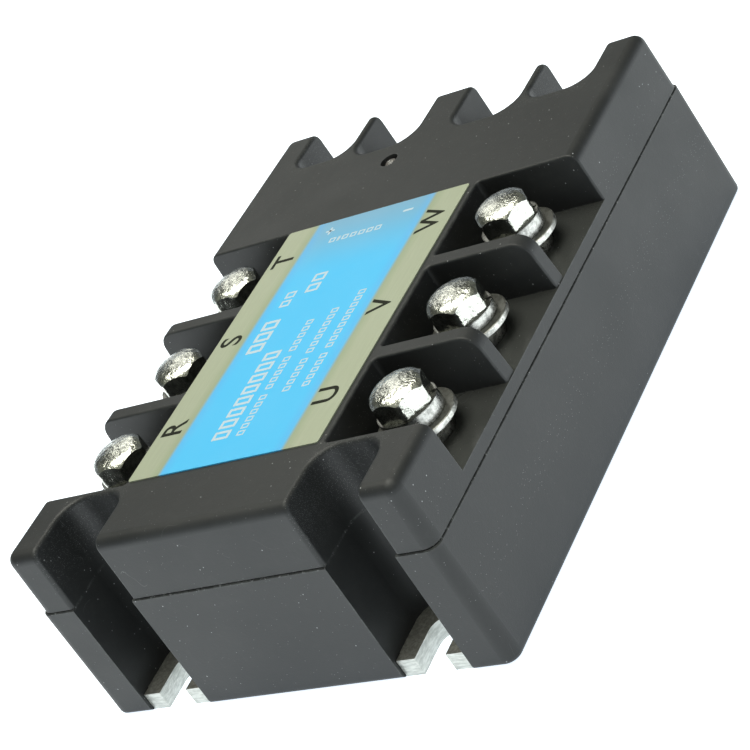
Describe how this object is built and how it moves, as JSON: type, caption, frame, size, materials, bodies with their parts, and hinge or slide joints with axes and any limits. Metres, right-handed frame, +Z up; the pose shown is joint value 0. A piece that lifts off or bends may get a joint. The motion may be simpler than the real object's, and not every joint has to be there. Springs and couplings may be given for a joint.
{
  "type": "solid state relay",
  "caption": "Three-phase solid state relay: low black casing on a metal base, open screw bays along both sides, printed face, status light and end recesses.",
  "frame": {"origin": "centre of the underside, on the heat sink face", "axes": "+X across the body towards the U V W terminals, +Y along the body towards the control terminals, +Z up away from the heat sink"},
  "size_m": [0.0748, 0.1056, 0.0331],
  "materials": {
    "base_aluminium": "bare rolled sheet, sheared edges",
    "housing_plastic": "fine moulded texture",
    "cover_plastic": "fine moulded texture",
    "label_film": "printed film, blue band between olive-silver strips",
    "led_resin": "water-clear resin",
    "tinned_wire": "tinned",
    "board_laminate": "green solder resist",
    "component_black": "moulded epoxy",
    "capacitor_case": "moulded box",
    "resistor_body": "lacquered",
    "resistor_chip": "thick film chip",
    "capacitor_can": "drawn can",
    "potting_resin": "cast epoxy",
    "alumina": "fired ceramic",
    "silicon": "passivated die",
    "terminal_nickel": "nickelled copper",
    "washer_nickel": "nickelled, satin",
    "spring_steel": "nickelled spring steel",
    "screw_nickel": "bright nickel"
  },
  "bodies": {
    "relay_case": {"base_plate": "base_aluminium", "base_housing": "housing_plastic", "top_cover": "cover_plastic", "face_label": "label_film", "status_led": "led_resin", "led_leads": "tinned_wire", "control_board": "board_laminate", "optocouplers": "component_black", "snubber_capacitors": "capacitor_case", "snubber_resistors": "resistor_body", "input_resistors": "resistor_chip", "input_regulator": "component_black", "input_capacitor": "capacitor_can", "potting": "potting_resin", "gate_pins": "tinned_wire", "ceramic_substrate_1": "alumina", "ceramic_substrate_2": "alumina", "ceramic_substrate_3": "alumina", "thyristor_pair_1": "silicon", "thyristor_pair_2": "silicon", "thyristor_pair_3": "silicon", "load_terminal_r": "terminal_nickel", "load_terminal_s": "terminal_nickel", "load_terminal_t": "terminal_nickel", "load_terminal_u": "terminal_nickel", "load_terminal_v": "terminal_nickel", "load_terminal_w": "terminal_nickel", "control_terminal_plus": "terminal_nickel", "control_terminal_minus": "terminal_nickel"},
    "washers_r": {"flat_washer_r": "washer_nickel", "spring_washer_r": "spring_steel"},
    "screw_r": {"load_screw_r": "screw_nickel"},
    "washers_s": {"flat_washer_s": "washer_nickel", "spring_washer_s": "spring_steel"},
    "screw_s": {"load_screw_s": "screw_nickel"},
    "washers_t": {"flat_washer_t": "washer_nickel", "spring_washer_t": "spring_steel"},
    "screw_t": {"load_screw_t": "screw_nickel"},
    "washers_u": {"flat_washer_u": "washer_nickel", "spring_washer_u": "spring_steel"},
    "screw_u": {"load_screw_u": "screw_nickel"},
    "washers_v": {"flat_washer_v": "washer_nickel", "spring_washer_v": "spring_steel"},
    "screw_v": {"load_screw_v": "screw_nickel"},
    "washers_w": {"flat_washer_w": "washer_nickel", "spring_washer_w": "spring_steel"},
    "screw_w": {"load_screw_w": "screw_nickel"},
    "washers_plus": {"control_flat_washer_plus": "washer_nickel", "control_spring_washer_plus": "spring_steel"},
    "screw_plus": {"control_screw_plus": "screw_nickel"},
    "washers_minus": {"control_flat_washer_minus": "washer_nickel", "control_spring_washer_minus": "spring_steel"},
    "screw_minus": {"control_screw_minus": "screw_nickel"}
  },
  "joints": [
    {"name": "washer_lift_r", "type": "slide", "parent": "relay_case", "child": "washers_r", "axis": [0, 0, 1], "range_m": [0, 0.0042]},
    {"name": "screw_turn_r", "type": "hinge", "parent": "washers_r", "child": "screw_r", "pos_m": [-0.0268, -0.0304, 0.0285], "axis": [0, 0, 1], "range_deg": [0, 1891]},
    {"name": "washer_lift_s", "type": "slide", "parent": "relay_case", "child": "washers_s", "axis": [0, 0, 1], "range_m": [0, 0.0042]},
    {"name": "screw_turn_s", "type": "hinge", "parent": "washers_s", "child": "screw_s", "pos_m": [-0.0268, -0.0101, 0.0282], "axis": [0, 0, 1], "range_deg": [0, 1891]},
    {"name": "washer_lift_t", "type": "slide", "parent": "relay_case", "child": "washers_t", "axis": [0, 0, 1], "range_m": [0, 0.0042]},
    {"name": "screw_turn_t", "type": "hinge", "parent": "washers_t", "child": "screw_t", "pos_m": [-0.0268, 0.0102, 0.028], "axis": [0, 0, 1], "range_deg": [0, 1891]},
    {"name": "washer_lift_u", "type": "slide", "parent": "relay_case", "child": "washers_u", "axis": [0, 0, 1], "range_m": [0, 0.0042]},
    {"name": "screw_turn_u", "type": "hinge", "parent": "washers_u", "child": "screw_u", "pos_m": [0.0268, -0.0304, 0.029], "axis": [0, 0, 1], "range_deg": [0, 1891]},
    {"name": "washer_lift_v", "type": "slide", "parent": "relay_case", "child": "washers_v", "axis": [0, 0, 1], "range_m": [0, 0.0042]},
    {"name": "screw_turn_v", "type": "hinge", "parent": "washers_v", "child": "screw_v", "pos_m": [0.0268, -0.0101, 0.0284], "axis": [0, 0, 1], "range_deg": [0, 1891]},
    {"name": "washer_lift_w", "type": "slide", "parent": "relay_case", "child": "washers_w", "axis": [0, 0, 1], "range_m": [0, 0.0042]},
    {"name": "screw_turn_w", "type": "hinge", "parent": "washers_w", "child": "screw_w", "pos_m": [0.0268, 0.0102, 0.0289], "axis": [0, 0, 1], "range_deg": [0, 1891]},
    {"name": "washer_lift_plus", "type": "slide", "parent": "relay_case", "child": "washers_plus", "axis": [0, 0, 1], "range_m": [0, 0.00298]},
    {"name": "screw_turn_plus", "type": "hinge", "parent": "washers_plus", "child": "screw_plus", "pos_m": [-0.0101, 0.0433, 0.0251], "axis": [0, 0, 1], "range_deg": [0, 1531]},
    {"name": "washer_lift_minus", "type": "slide", "parent": "relay_case", "child": "washers_minus", "axis": [0, 0, 1], "range_m": [0, 0.00298]},
    {"name": "screw_turn_minus", "type": "hinge", "parent": "washers_minus", "child": "screw_minus", "pos_m": [0.0101, 0.0433, 0.0251], "axis": [0, 0, 1], "range_deg": [0, 1531]}
  ],
  "couplings": [
    {"joint": "screw_turn_r", "follows": "washer_lift_r", "rad_per_m": 7854},
    {"joint": "screw_turn_s", "follows": "washer_lift_s", "rad_per_m": 7854},
    {"joint": "screw_turn_t", "follows": "washer_lift_t", "rad_per_m": 7854},
    {"joint": "screw_turn_u", "follows": "washer_lift_u", "rad_per_m": 7854},
    {"joint": "screw_turn_v", "follows": "washer_lift_v", "rad_per_m": 7854},
    {"joint": "screw_turn_w", "follows": "washer_lift_w", "rad_per_m": 7854},
    {"joint": "screw_turn_plus", "follows": "washer_lift_plus", "rad_per_m": 8976},
    {"joint": "screw_turn_minus", "follows": "washer_lift_minus", "rad_per_m": 8976}
  ]
}
